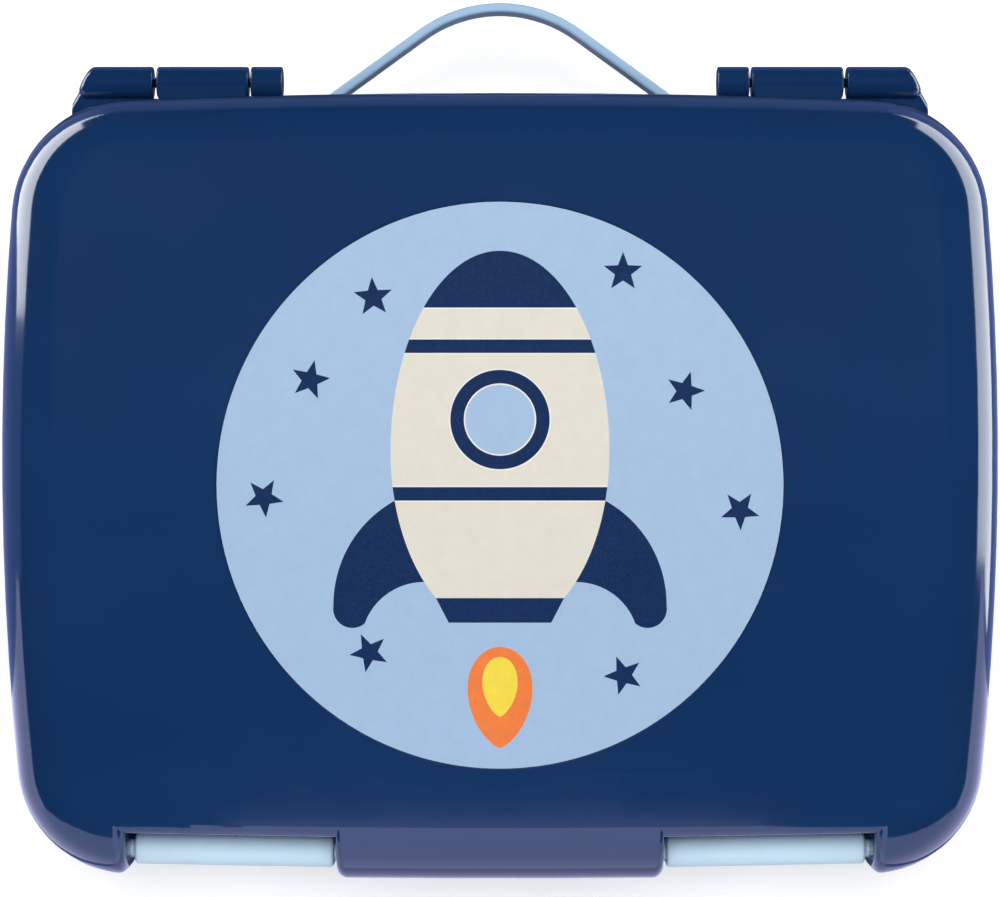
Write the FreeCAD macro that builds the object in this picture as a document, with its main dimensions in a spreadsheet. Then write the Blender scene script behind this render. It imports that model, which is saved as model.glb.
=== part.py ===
import FreeCAD, Part
import math
import os
import Sketcher
from FreeCAD import Placement, Rotation, Vector

# Kids' lunch box, millimetres.  The box lies on its base: the origin is the centre of the base's
# underside, +Z goes up through the lid, +Y to the hinges and handle, -Y to the latches.

SIZES = {
    # outline of the lid, seen from above
    "lid_width": (210.0, "widest part of the lid, along X"),
    "front_y": (83.1, "front edge of the lid, in front of the origin"),
    "rear_y": (82.6, "rear edge of the lid, behind the origin"),
    "side_bow": (650.0, "radius of the bowed left and right sides"),
    "rear_bow": (2200.0, "radius of the bowed rear side"),
    "front_bow": (3000.0, "radius of the bowed front side"),
    "bow_middle": (6.0, "how far behind the origin the lid is widest"),
    "front_corner": (24.0, "radius of the two front corners"),
    "rear_corner": (25.0, "radius of the two rear corners"),
    # heights and walls
    "base_top": (40.0, "rim of the base"),
    "lid_bottom": (40.4, "rim of the lid"),
    "lid_top": (62.0, "top face of the lid"),
    "wall": (2.2, "wall of the lid, and floor of the base"),
    "lid_roll": (12.0, "radius of the rolled upper edge of the lid"),
    "base_inset": (1.6, "how far the base stands inside the lid's outline"),
    "base_wall": (2.0, "side wall of the base"),
    "base_roll": (9.0, "radius of the rolled lower edge of the base"),
    # printed film
    "print_radius": (59.0, "round film on the lid"),
    "print_thick": (0.15, "thickness of the film"),
    # hinges
    "hinge_y": (86.0, "hinge axis behind the origin"),
    "hinge_z": (40.2, "height of the hinge axis"),
    "knuckle": (3.4, "outer radius of a knuckle"),
    "knuckle_round": (0.5, "rounding of a knuckle's ends"),
    "slant_round": (1.6, "rounding of the slanted outer end"),
    "hinge_pin": (1.1, "radius of a hinge pin"),
    "running": (0.05, "radial clearance of a pin in a turning bore"),
    "lug_inner": (46.5, "inner end of the base's inner knuckle, from the middle"),
    "lid_lug_inner": (53.8, "inner end of the lid's knuckle"),
    "lid_lug_outer": (73.4, "outer end of the lid's knuckle"),
    "knuckle_gap": (0.5, "gap between the lid's knuckle and the inner one"),
    "lug_outer_gap": (0.8, "gap between the lid's knuckle and the outer one"),
    "lug_outer": (92.3, "outer end of the base's outer knuckle, at the wall"),
    "lug_slant": (4.8, "how far that end slants inward towards the rear"),
    "hinge_pin_end": (84.5, "outer end of a hinge pin, blind in the outer knuckle"),
    "pin_sunk": (0.6, "how far a hinge pin's inner end is sunk in its knuckle"),
    "lid_web_in": (6.0, "how far the web of a lid knuckle reaches into the lid"),
    "rim_lap": (0.6, "how far the lid's rim runs level behind that root"),
    "base_web": (12.0, "how far the web of a base knuckle reaches into and down the base"),
    # latches
    "latch_x": (56.2, "middle of a latch from the middle of the box"),
    "latch_y": (77.4, "latch axis in front of the origin"),
    "latch_z": (46.8, "height of the latch axis"),
    "latch_tilt": (1.06, "degrees that a latch turns to follow the bowed edge"),
    "latch_width": (42.1, "length of the latch barrel"),
    "latch_barrel": (3.45, "radius of the latch barrel"),
    "latch_plate": (2.5, "thickness of the latch plate"),
    "latch_drop": (25.5, "how far the plate hangs below the axis"),
    "latch_round": (0.8, "rounding of the latch's end edges"),
    "lip_reach": (1.8, "how far the finger lip stands out from the plate"),
    "lip_height": (5.0, "height of the finger lip with its slope"),
    "latch_stub": (1.75, "radius of the stub shafts"),
    "stub_reach": (3.6, "length of a stub shaft beyond the barrel"),
    "latch_play": (0.1, "radial clearance of a stub in its socket"),
    "bay_width": (44.0, "width of the bay that a latch lies in"),
    "bay_depth": (4.6, "back wall of the lid's bay behind the latch axis"),
    "bay_rim": (2.2, "rounding of the bay's rim on the lid's top"),
    "bay_edge": (0.9, "rounding of the bay's upright edges at the lid's front"),
    "bay_side": (4.0, "side wall of the lid's bay, deep enough for the socket"),
    "recess_depth": (1.7, "floor of the base's bay behind the latch axis"),
    "recess_bottom": (17.5, "lower end of the base's bay"),
    "catch_width": (18.0, "width of the catch rib and of the hook"),
    "catch_top": (13.0, "top of the catch rib below the latch axis"),
    "catch_height": (2.5, "height of the catch rib, and of the hook"),
    "catch_gap": (0.4, "gap between the rib and the hook under it"),
    "catch_front": (0.2, "front of the catch rib, in front of the latch axis"),
    "hook_gap": (0.8, "gap between the hook and the floor of the base's bay"),
    "hook_slope": (1.2, "how much lower the hook's root is than its tip"),
    # handle
    "strap_thick": (2.0, "thickness of the strap"),
    "strap_depth": (8.0, "width of the strap, along Z"),
    "strap_round": (0.8, "rounding of the strap's edges"),
    "crown_y": (103.7, "middle of the strap at its crown, behind the origin"),
    "crown_radius": (28.8, "radius of the crown's middle line"),
    "heel_radius": (10.0, "radius where a flank turns into its barrel"),
    "heel_x": (45.0, "where that turn ends, from the middle of the box"),
    "pivot_y": (80.2, "handle axis behind the origin"),
    "pivot_z": (26.0, "height of the handle axis"),
    "strap_end": (47.0, "end of the strap's barrel from the middle"),
    "strap_barrel": (2.6, "radius of the strap's end barrels"),
    "barrel_length": (4.5, "length of an end barrel"),
    "handle_pin": (1.2, "radius of a handle pin"),
    "anchor_gap": (0.3, "gap between the barrel and its anchor"),
    "anchor_thick": (4.0, "thickness of an anchor"),
    "anchor_nose": (3.4, "radius of the anchor's nose"),
    "pocket_y": (75.4, "rear wall of the base inside the handle recess"),
    "pocket_half": (51.5, "half length of the handle recess"),
    "pocket_top": (31.2, "top of the handle recess"),
    # tray
    "tray_wall": (2.8, "front and rear wall of the tray in the middle"),
    "tray_side": (5.6, "side wall of the tray where its outline is widest"),
    "tray_roll": (7.5, "rounding of the tray's lower edge"),
    "flange_half": (100.5, "half width of the tray's flange"),
    "flange_front": (70.4, "front of the flange"),
    "flange_rear": (73.2, "rear of the flange"),
    "inner_corner": (18.0, "corner radius of the flange, the liner and the rim seal"),
    "flange_thick": (1.8, "thickness of the flange"),
    "tray_top": (41.5, "rim of the tray"),
    "tray_floor": (2.0, "floor of a compartment above the tray's underside"),
    "rib": (4.0, "width of the ribs between the compartments"),
    "well_radius": (27.0, "radius of the round dip well"),
    "well_y": (37.6, "middle of the dip well behind the origin"),
    "well_cell": (28.2, "half width of the hollow under the tray around the well"),
    "room_half": (90.4, "half width of the room for the compartments"),
    "room_front": (66.5, "front of that room"),
    "room_rear": (67.5, "rear of that room"),
    "room_split": (6.0, "rib between the front and the rear compartments, behind the origin"),
    "front_split": (20.0, "rib between the two front compartments"),
    "room_corner": (11.0, "corner radius of a compartment"),
    "room_round": (6.0, "rounding where a compartment's wall meets its floor"),
    # liner and seals
    "liner_bottom": (45.5, "underside of the liner"),
    "liner_thick": (1.6, "thickness of the liner and of its upright rib"),
    "liner_half": (101.7, "half width of the liner"),
    "liner_front": (70.4, "front of the liner"),
    "liner_rear": (78.6, "rear of the liner"),
    "liner_rib_in": (13.5, "how far the upright rib stands inside the liner's edge"),
    "liner_rib_corner": (12.0, "corner radius of the upright rib"),
    "seal_bottom": (41.9, "underside of the seals"),
    "seal_half": (99.8, "half width of the rim seal"),
    "seal_front": (70.0, "front of the rim seal"),
    "seal_rear": (71.2, "rear of the rim seal"),
    "seal_wide": (3.4, "width of the rim seal"),
    "well_seal_in": (27.6, "inner radius of the dip well's seal"),
    "well_seal_wide": (2.2, "width of the dip well's seal"),
}

SIDES = {"left": -1, "right": 1}

doc = FreeCAD.newDocument("LunchBox")
sheet = doc.addObject("Spreadsheet::Sheet", "Sizes")
for row, (alias, (value, meaning)) in enumerate(SIZES.items(), start=1):
    sheet.set(f"A{row}", meaning)
    sheet.set(f"B{row}", str(value))
    sheet.setAlias(f"B{row}", alias)
doc.recompute()


# ---------------------------------------------------------------- expressions

def named(expression):
    """An expression on the sheet: each size's plain name becomes a reference to its cell."""
    words = []
    for word in str(expression).replace("(", " ( ").replace(")", " ) ").split():
        words.append(f"Sizes.{word}" if word in SIZES else word)
    return " ".join(words)


def value_of(expression):
    """The number that an expression gives with the sheet's present values."""
    result = sheet.evalExpression(named(expression))
    return float(getattr(result, "Value", result))


def bind(item, prop, expression):
    """Tie one property of an object to the sheet."""
    item.setExpression(prop, named(expression))


# ---------------------------------------------------------------- sketches and features

def new_body(label):
    body = doc.addObject("PartDesign::Body", "Body_" + label)
    body.Label = label
    return body


def new_sketch(body, name, plane, level):
    """An empty sketch on one of the body's origin planes, moved along its normal to `level`."""
    sketch = body.newObject("Sketcher::SketchObject", name)
    origin_plane = next(f for f in body.Origin.OriginFeatures if f.Role == plane)
    sketch.AttachmentSupport = [(origin_plane, "")]
    sketch.MapMode = "FlatFace"
    bind(sketch, "AttachmentOffset.Base.z", level)
    return sketch


def hold(sketch, kind, *where, size, name):
    """Add a named dimension to a sketch and tie it to the sheet."""
    index = sketch.addConstraint(Sketcher.Constraint(kind, *where, value_of(size)))
    sketch.renameConstraint(index, name)
    bind(sketch, "Constraints." + name, size)


def pad(body, sketch, length, name="Pad"):
    feature = body.newObject("PartDesign::Pad", name)
    feature.Profile = sketch
    bind(feature, "Length", length)
    sketch.Visibility = False
    return feature


def pocket(body, sketch, length, name="Pocket"):
    """Cut along the sketch's normal, so upwards for a horizontal sketch below the solid."""
    doc.recompute()
    before = body.Shape.Volume
    feature = body.newObject("PartDesign::Pocket", name)
    feature.Profile = sketch
    feature.Reversed = True
    bind(feature, "Length", length)
    doc.recompute()
    if not body.Shape.Volume < before - 1e-3:
        raise RuntimeError(f"{body.Label}: {name} removes nothing")
    return feature


def edges_where(shape, test):
    """Names of the edges that pass the test."""
    return [f"Edge{i}" for i, edge in enumerate(shape.Edges, start=1) if test(edge)]


def round_edges(body, radius, test, name="Fillet"):
    """Round the edges of the body's newest feature that pass the test."""
    doc.recompute()
    base = body.Tip
    feature = body.newObject("PartDesign::Fillet", name)
    feature.Base = (base, edges_where(base.Shape, test))
    bind(feature, "Radius", radius)
    return feature


def level_edge(height):
    """A test for edges that lie at one height."""
    z = value_of(height)
    return lambda edge: abs(edge.BoundBox.ZMin - z) < 1e-4 and abs(edge.BoundBox.ZMax - z) < 1e-4


def upright_edge(edge):
    """A test for straight vertical edges."""
    return edge.BoundBox.XLength < 1e-4 and edge.BoundBox.YLength < 1e-4


def end_edge(reach):
    """A test for edges that lie on either end face of a body that runs from -reach to reach along X."""
    return lambda edge: edge.BoundBox.XLength < 1e-4 and abs(abs(edge.BoundBox.XMin) - reach) < 1e-4


def tangent_circle(centre_a, radius_a, centre_b, radius_b, radius):
    """Centre of a circle that touches two larger circles from inside, on the side that +X, +Y names."""
    reach_a = radius_a - radius
    reach_b = radius_b - radius
    gap = centre_b - centre_a
    along = (gap.Length ** 2 + reach_a ** 2 - reach_b ** 2) / (2 * gap.Length)
    across = math.sqrt(reach_a ** 2 - along ** 2)
    unit = gap / gap.Length
    normal = Vector(-unit.y, unit.x, 0)
    spots = [centre_a + unit * along + normal * (sign * across) for sign in (1, -1)]
    return max(spots, key=lambda spot: spot.x)


def outline_sketch(body, name, level, half, front, rear, front_corner, rear_corner):
    """The box's plan outline: four bowed sides joined by four corner arcs, all tangent."""
    half_v, front_v, rear_v = value_of(half), value_of(front), value_of(rear)
    side_r, middle = value_of("side_bow"), value_of("bow_middle")
    rear_r, front_r = value_of("rear_bow"), value_of("front_bow")
    right = (Vector(half_v - side_r, middle, 0), side_r)
    back = (Vector(0, rear_v - rear_r, 0), rear_r)
    ahead = (Vector(0, front_r - front_v, 0), front_r)

    def mirrored(circle):
        return Vector(-circle[0].x, circle[0].y, 0), circle[1]

    back_corner_r, front_corner_r = value_of(rear_corner), value_of(front_corner)
    corner_back = (tangent_circle(*right, *back, back_corner_r), back_corner_r)
    corner_front = (tangent_circle(*right, *ahead, front_corner_r), front_corner_r)
    circles = [right, corner_back, back, mirrored(corner_back),
               mirrored(right), mirrored(corner_front), ahead, corner_front]

    def meeting(one, other):
        big, small = (one, other) if one[1] > other[1] else (other, one)
        way = small[0] - big[0]
        return big[0] + way * (big[1] / way.Length)

    def angle_at(circle, point):
        return math.atan2(point.y - circle[0].y, point.x - circle[0].x)

    sketch = new_sketch(body, name, "XY_Plane", level)
    count = len(circles)
    for index, circle in enumerate(circles):
        start = meeting(circles[index - 1], circle)
        end = meeting(circle, circles[(index + 1) % count])
        arc = Part.Circle(circle[0], Vector(0, 0, 1), circle[1])
        first, last = angle_at(circle, start), angle_at(circle, end)
        sketch.addGeometry(Part.ArcOfCircle(arc, first, last if last > first else last + 2 * math.pi))
    for index in range(count):
        sketch.addConstraint(Sketcher.Constraint("Tangent", index, 2, (index + 1) % count, 1))
    for index in (2, 6):
        sketch.addConstraint(Sketcher.Constraint("PointOnObject", index, 3, -2))
    sketch.addConstraint(Sketcher.Constraint("Symmetric", 0, 3, 4, 3, -2))
    for one, other in ((0, 4), (1, 3), (5, 7)):
        sketch.addConstraint(Sketcher.Constraint("Equal", one, other))
    hold(sketch, "Radius", 0, size="side_bow", name="side_radius")
    hold(sketch, "DistanceX", 0, 3, -1, 1, size=f"side_bow - ({half})", name="half_width")
    hold(sketch, "DistanceY", -1, 1, 0, 3, size="bow_middle", name="widest")
    hold(sketch, "Radius", 2, size="rear_bow", name="rear_radius")
    hold(sketch, "DistanceY", 2, 3, -1, 1, size=f"rear_bow - ({rear})", name="rear_edge")
    hold(sketch, "Radius", 6, size="front_bow", name="front_radius")
    hold(sketch, "DistanceY", -1, 1, 6, 3, size=f"front_bow - ({front})", name="front_edge")
    hold(sketch, "Radius", 1, size=rear_corner, name="rear_corner_radius")
    hold(sketch, "Radius", 5, size=front_corner, name="front_corner_radius")
    return sketch


def lid_outline(body, name, level, inset="0"):
    """The lid's plan outline, moved inward by `inset` on every side."""
    return outline_sketch(
        body, name, level,
        half=f"lid_width / 2 - ({inset})", front=f"front_y - ({inset})", rear=f"rear_y - ({inset})",
        front_corner=f"front_corner - ({inset})", rear_corner=f"rear_corner - ({inset})",
    )


def polygon_sketch(body, name, plane, level, corners):
    """A closed outline of straight lines: each corner is a pair of expressions."""
    sketch = new_sketch(body, name, plane, level)
    spots = [Vector(value_of(a), value_of(b), 0) for a, b in corners]
    count = len(spots)
    for index in range(count):
        sketch.addGeometry(Part.LineSegment(spots[index], spots[(index + 1) % count]))
    for index in range(count):
        sketch.addConstraint(Sketcher.Constraint("Coincident", index, 2, (index + 1) % count, 1))
    for index, (a, b) in enumerate(corners):
        hold(sketch, "DistanceX", -1, 1, index, 1, size=a, name=f"corner{index}_across")
        hold(sketch, "DistanceY", -1, 1, index, 1, size=b, name=f"corner{index}_up")
    return sketch


def rectangle(x0, x1, y0, y1):
    """Four corners, counter-clockwise."""
    return [(x0, y0), (x1, y0), (x1, y1), (x0, y1)]


def circle_sketch(body, name, plane, level, across, up, radius):
    sketch = new_sketch(body, name, plane, level)
    centre = Vector(value_of(across), value_of(up), 0)
    sketch.addGeometry(Part.Circle(centre, Vector(0, 0, 1), value_of(radius)))
    hold(sketch, "DistanceX", -1, 1, 0, 3, size=across, name="across")
    hold(sketch, "DistanceY", -1, 1, 0, 3, size=up, name="up")
    hold(sketch, "Radius", 0, size=radius, name="radius")
    return sketch


def prism(label, plane, corners, start, length):
    """A body made by padding one polygon."""
    body = new_body(label)
    pad(body, polygon_sketch(body, label + "_outline", plane, start, corners), length)
    return body


def rod(label, side, inner, outer, across, up, radius):
    """A round bar along X between two distances from the middle, on one side of the box."""
    body = new_body(label)
    start = inner if side > 0 else f"0 - ({outer})"
    sketch = circle_sketch(body, label + "_section", "YZ_Plane", start, across, up, radius)
    pad(body, sketch, f"({outer}) - ({inner})")
    return body


def hidden_boolean(kind, name, **inputs):
    item = doc.addObject(kind, name)
    for key, given in inputs.items():
        setattr(item, key, given)
    return item


def cut(name, base, tools):
    """The base without any of the tools."""
    for count, tool in enumerate(tools, start=1):
        last = count == len(tools)
        base = hidden_boolean("Part::Cut", name if last else f"{name}_cut{count}", Base=base, Tool=tool)
    return base


def fuse(name, shapes):
    return hidden_boolean("Part::MultiFuse", name, Shapes=shapes)


# ---------------------------------------------------------------- latch bays

def latch_place(side):
    """The frame of one latch: its origin is on the latch axis, its X runs along the barrel."""
    spot = Vector(side * value_of("latch_x"), -value_of("latch_y"), value_of("latch_z"))
    return Placement(spot, Rotation(Vector(0, 0, 1), side * value_of("latch_tilt")))


def bay(label, side, margin, back, bottom, top):
    """A block in a latch's frame that takes up its bay, grown by `margin` sideways and at the back."""
    body = new_body(label)
    half = f"bay_width / 2 + ({margin})"
    outline = rectangle(f"0 - ({half})", half, "0 - 3 * latch_barrel", f"({back}) + ({margin})")
    sketch = polygon_sketch(body, label + "_outline", "XY_Plane", f"({bottom}) - latch_z", outline)
    pad(body, sketch, f"({top}) - ({bottom})")
    body.Placement = latch_place(side)
    return body


def hinge_lug(label, side, inner, outer, web):
    """A knuckle: a barrel with rounded ends on the hinge axis, and the web that joins it to the wall."""
    body = rod(label, side, inner, outer, "hinge_y", "hinge_z", "knuckle")
    round_edges(body, "knuckle_round", lambda edge: edge.BoundBox.XLength < 1e-4)
    start = inner if side > 0 else f"0 - ({outer})"
    root = polygon_sketch(body, label + "_web", "YZ_Plane", f"{start} + knuckle_round", web)
    pad(body, root, f"({outer}) - ({inner}) - 2 * knuckle_round", name="Web")
    return body


def slant_knuckle(body, side):
    """Cut the outer end of a base knuckle at a slant, seen from above, and round the cut's edges."""
    wall_end = ("lug_outer", "rear_y - 1.8")
    rear_end = ("lug_outer - lug_slant", "hinge_y + knuckle")
    far, past = "lug_outer + 10", "hinge_y + 2 * knuckle"
    corners = [wall_end, (far, wall_end[1]), (far, past), (rear_end[0], past), rear_end]
    wedge = polygon_sketch(body, body.Label + "_slant", "XY_Plane", "base_top / 2",
                           [(f"{side} * ({x})", y) for x, y in corners])
    pocket(body, wedge, "base_top")
    start, end = (Vector(side * value_of(x), value_of(y), 0) for x, y in (wall_end, rear_end))
    normal = Vector(start.y - end.y, end.x - start.x, 0).normalize()

    def on_slant(edge):
        spots = [edge.valueAt(edge.FirstParameter), edge.valueAt(edge.LastParameter), edge.CenterOfMass]
        flat = all(abs((spot - start).dot(normal)) < 0.01 for spot in spots)
        return flat and edge.BoundBox.YMax > start.y + 0.5
    round_edges(body, "slant_round", on_slant)


# Webs seen along X.  The fractions of the knuckle's radius name points on or inside its circle.
LID_WEB = [
    ("rear_y - lid_web_in", "lid_bottom"),
    ("rear_y - rim_lap", "lid_bottom"),
    ("hinge_y - 0.8 * knuckle", "hinge_z - 0.6 * knuckle"),
    ("hinge_y - 0.28 * knuckle", "hinge_z + 0.96 * knuckle"),
    ("rear_y - lid_web_in", "hinge_z + 0.96 * knuckle"),
]
BASE_WEB = [
    ("rear_y - base_web", "hinge_z - base_web"),
    ("hinge_y + 0.45 * knuckle", "hinge_z - 0.88 * knuckle"),
    ("hinge_y - 0.5 * knuckle", "hinge_z"),
    ("rear_y - base_web", "base_top"),
]


# ---------------------------------------------------------------- lid

def make_lid():
    block = new_body("lid_block")
    pad(block, lid_outline(block, "lid_outline", "lid_bottom"), "lid_top - lid_bottom")
    round_edges(block, "lid_roll", level_edge("lid_top"))

    hollow = new_body("lid_hollow")
    inside = lid_outline(hollow, "lid_inside", "lid_bottom - 1", "wall")
    pad(hollow, inside, "lid_top - wall - lid_bottom + 1")
    round_edges(hollow, "lid_roll - wall", level_edge("lid_top - wall"))

    bays, kept, lugs, bores, sockets = [], [], [], [], []
    for name, side in SIDES.items():
        bays.append(bay(f"lid_bay_{name}", side, "0", "bay_depth", "lid_bottom - 5", "lid_top + 5"))
        keep = new_body(f"lid_bay_wall_{name}")
        half = "bay_width / 2 + bay_side"
        outline = rectangle(f"0 - ({half})", half, "0 - 3 * latch_barrel", "bay_depth + wall")
        block_sketch = polygon_sketch(keep, keep.Label + "_outline", "XY_Plane", "0 - latch_z", outline)
        pad(keep, block_sketch, "lid_top")
        keep.Placement = latch_place(side)
        kept.append(keep)
        lugs.append(hinge_lug(f"lid_lug_{name}", side, "lid_lug_inner", "lid_lug_outer", LID_WEB))
        bores.append(rod(f"lid_bore_{name}", side, "lug_inner", "hinge_pin_end",
                         "hinge_y", "hinge_z", "hinge_pin + running"))
        socket = new_body(f"latch_socket_{name}")
        reach = "latch_width / 2 + stub_reach + 0.3"
        section = circle_sketch(socket, f"latch_socket_{name}_section", "YZ_Plane", f"0 - ({reach})",
                                "0", "0", "latch_stub + latch_play")
        pad(socket, section, f"2 * ({reach})")
        socket.Placement = latch_place(side)
        sockets.append(socket)

    notched = cut("lid_notched", block, bays)
    doc.recompute()
    rim = hidden_boolean("Part::Fillet", "lid_rims", Base=notched)
    rim.Edges = bay_rim_edges(notched.Shape)
    cavity = cut("lid_cavity", hollow, kept)
    shell = cut("lid_open", fuse("lid_with_lugs", [rim] + lugs), [cavity])
    lid = cut("lid_shell", shell, bores + sockets)
    lid.Label = "lid_shell"
    return lid


def bay_rim_edges(shape):
    """The edges where the bays' walls meet the lid's outer skin, each with the radii at its two ends."""
    low, high = value_of("lid_top - lid_roll"), value_of("lid_top")
    rim, corner = value_of("bay_rim"), value_of("bay_edge")

    def radius_at(point):
        share = min(max((point.z - low) / (high - low), 0), 1)
        return corner + (rim - corner) * share

    found = []
    for index, edge in enumerate(shape.Edges, start=1):
        faces = shape.ancestorsOfType(edge, Part.Face)
        if len(faces) != 2 or level_edge("lid_bottom")(edge):
            continue
        inside = [in_a_bay(face) for face in faces]
        if inside.count(True) == 1:
            ends = [edge.valueAt(edge.FirstParameter), edge.valueAt(edge.LastParameter)]
            found.append((index, radius_at(ends[0]), radius_at(ends[1])))
    return found


def in_a_bay(face):
    """Whether a face is one of the upright walls that a bay cuts into the lid."""
    near = 0.6
    middle = face.CenterOfMass
    for side in SIDES.values():
        local = latch_place(side).inverse().multVec(middle)
        half = value_of("bay_width") / 2
        on_side = abs(abs(local.x) - half) < near and local.y < value_of("bay_depth") + 0.01
        on_back = abs(local.x) < half and abs(local.y - value_of("bay_depth")) < near
        if on_side or on_back:
            return True
    return False


def make_print():
    film = doc.addObject("Part::Cylinder", "lid_print")
    film.Label = "lid_print"
    bind(film, "Radius", "print_radius")
    bind(film, "Height", "print_thick")
    bind(film, "Placement.Base.z", "lid_top")
    return film


# ---------------------------------------------------------------- base

def make_base():
    block = new_body("base_block")
    pad(block, lid_outline(block, "base_outline", "0", "base_inset"), "base_top")
    round_edges(block, "base_roll", level_edge("0"))

    hollow = new_body("base_hollow")
    inside = lid_outline(hollow, "base_inside", "wall", "base_inset + base_wall")
    pad(hollow, inside, "base_top")
    round_edges(hollow, "base_roll - base_wall", level_edge("wall"))

    kept = [prism("handle_pocket_wall", "XY_Plane",
                  rectangle("0 - pocket_half - base_wall", "pocket_half + base_wall",
                            "pocket_y - base_wall", "rear_y + 10"),
                  "0", "pocket_top + base_wall")]
    holes = [prism("handle_pocket", "XY_Plane",
                   rectangle("0 - pocket_half", "pocket_half", "pocket_y", "rear_y + 10"),
                   "0 - 1", "pocket_top + 1")]
    added, bores, ribs = [block], [], []
    for name, side in SIDES.items():
        holes.append(bay(f"base_bay_{name}", side, "0", "recess_depth", "recess_bottom", "base_top + 5"))
        kept.append(bay(f"base_bay_wall_{name}", side, "base_wall", "recess_depth",
                        "recess_bottom - base_wall", "base_top + 5"))
        outer_start = "lid_lug_outer + lug_outer_gap"
        added.append(hinge_lug(f"base_lug_inner_{name}", side, "lug_inner",
                               "lid_lug_inner - knuckle_gap", BASE_WEB))
        outer_lug = hinge_lug(f"base_lug_outer_{name}", side, outer_start, "lug_outer", BASE_WEB)
        slant_knuckle(outer_lug, side)
        added.append(outer_lug)
        bores.append(rod(f"base_bore_{name}", side, "lug_inner", "hinge_pin_end",
                         "hinge_y", "hinge_z", "hinge_pin"))
        rib = new_body(f"catch_rib_{name}")
        outline = rectangle("0 - catch_width / 2", "catch_width / 2",
                            "0 - catch_front", "recess_depth + 1")
        pad(rib, polygon_sketch(rib, rib.Label + "_outline", "XY_Plane",
                                "0 - catch_top - catch_height", outline), "catch_height")
        rib.Placement = latch_place(side)
        ribs.append(rib)

    cavity = cut("base_cavity", hollow, kept)
    shell = cut("base_open", fuse("base_with_lugs", added), [cavity] + holes + bores)
    base = fuse("base_shell", [shell] + ribs)
    base.Label = "base_shell"
    return base


# ---------------------------------------------------------------- latches and hinge pins

def latch_profile(body):
    """The latch seen along its axis: a round barrel, a flat plate below it and a lip for the finger."""
    radius, plate = value_of("latch_barrel"), value_of("latch_plate")
    drop, lip_z, lip_y = value_of("latch_drop"), value_of("lip_height"), value_of("latch_barrel + lip_reach")
    inside = plate - radius
    join = -math.sqrt(radius ** 2 - inside ** 2)
    sketch = new_sketch(body, "latch_profile", "YZ_Plane", "0 - latch_width / 2")
    barrel = Part.Circle(Vector(0, 0, 0), Vector(0, 0, 1), radius)
    sketch.addGeometry(Part.ArcOfCircle(barrel, math.atan2(join, inside), math.pi))
    spots = [(-radius, 0), (-radius, lip_z - drop), (-lip_y, lip_z * 0.4 - drop), (-lip_y, -drop),
             (inside, -drop), (inside, join)]
    for start, end in zip(spots, spots[1:]):
        sketch.addGeometry(Part.LineSegment(Vector(*start, 0), Vector(*end, 0)))
    sketch.addConstraint(Sketcher.Constraint("Tangent", 0, 2, 1, 1))
    for index in range(1, 6):
        sketch.addConstraint(Sketcher.Constraint("Coincident", index, 2, (index + 1) % 6, 1))
    sketch.addConstraint(Sketcher.Constraint("Coincident", 0, 3, -1, 1))
    for line, way in ((1, "Vertical"), (3, "Vertical"), (4, "Horizontal"), (5, "Vertical")):
        sketch.addConstraint(Sketcher.Constraint(way, line))
    hold(sketch, "Radius", 0, size="latch_barrel", name="barrel")
    hold(sketch, "DistanceY", -1, 1, 1, 2, size="lip_height - latch_drop", name="plate_end")
    hold(sketch, "DistanceX", -1, 1, 2, 2, size="0 - latch_barrel - lip_reach", name="lip_out")
    hold(sketch, "DistanceY", -1, 1, 2, 2, size="0.4 * lip_height - latch_drop", name="lip_top")
    hold(sketch, "DistanceY", -1, 1, 3, 2, size="0 - latch_drop", name="drop")
    hold(sketch, "DistanceX", -1, 1, 4, 2, size="latch_plate - latch_barrel", name="inner_face")
    return sketch


def make_latch(name, side):
    body = new_body(f"latch_{name}")
    pad(body, latch_profile(body), "latch_width")
    end = value_of("latch_width / 2")
    round_edges(body, "latch_round", end_edge(end))
    plate_in = "latch_plate - latch_barrel"
    hook_top = "0 - catch_top - catch_height - catch_gap"
    hook = polygon_sketch(body, f"latch_hook_{name}", "YZ_Plane", "0 - catch_width / 2", [
        (plate_in, hook_top),
        (plate_in, f"{hook_top} - catch_height - hook_slope"),
        ("recess_depth - hook_gap", f"{hook_top} - catch_height"),
        ("recess_depth - hook_gap", hook_top),
    ])
    pad(body, hook, "catch_width", name="Hook")
    reach = "latch_width / 2 + stub_reach"
    stub = circle_sketch(body, f"latch_stub_{name}", "YZ_Plane", f"0 - ({reach})", "0", "0", "latch_stub")
    pad(body, stub, f"2 * ({reach})", name="Stubs")
    body.Placement = latch_place(side)
    return body


def make_hinge_pin(name, side):
    return rod(f"hinge_pin_{name}", side, "lug_inner + pin_sunk", "hinge_pin_end",
               "hinge_y", "hinge_z", "hinge_pin")


# ---------------------------------------------------------------- handle

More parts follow.
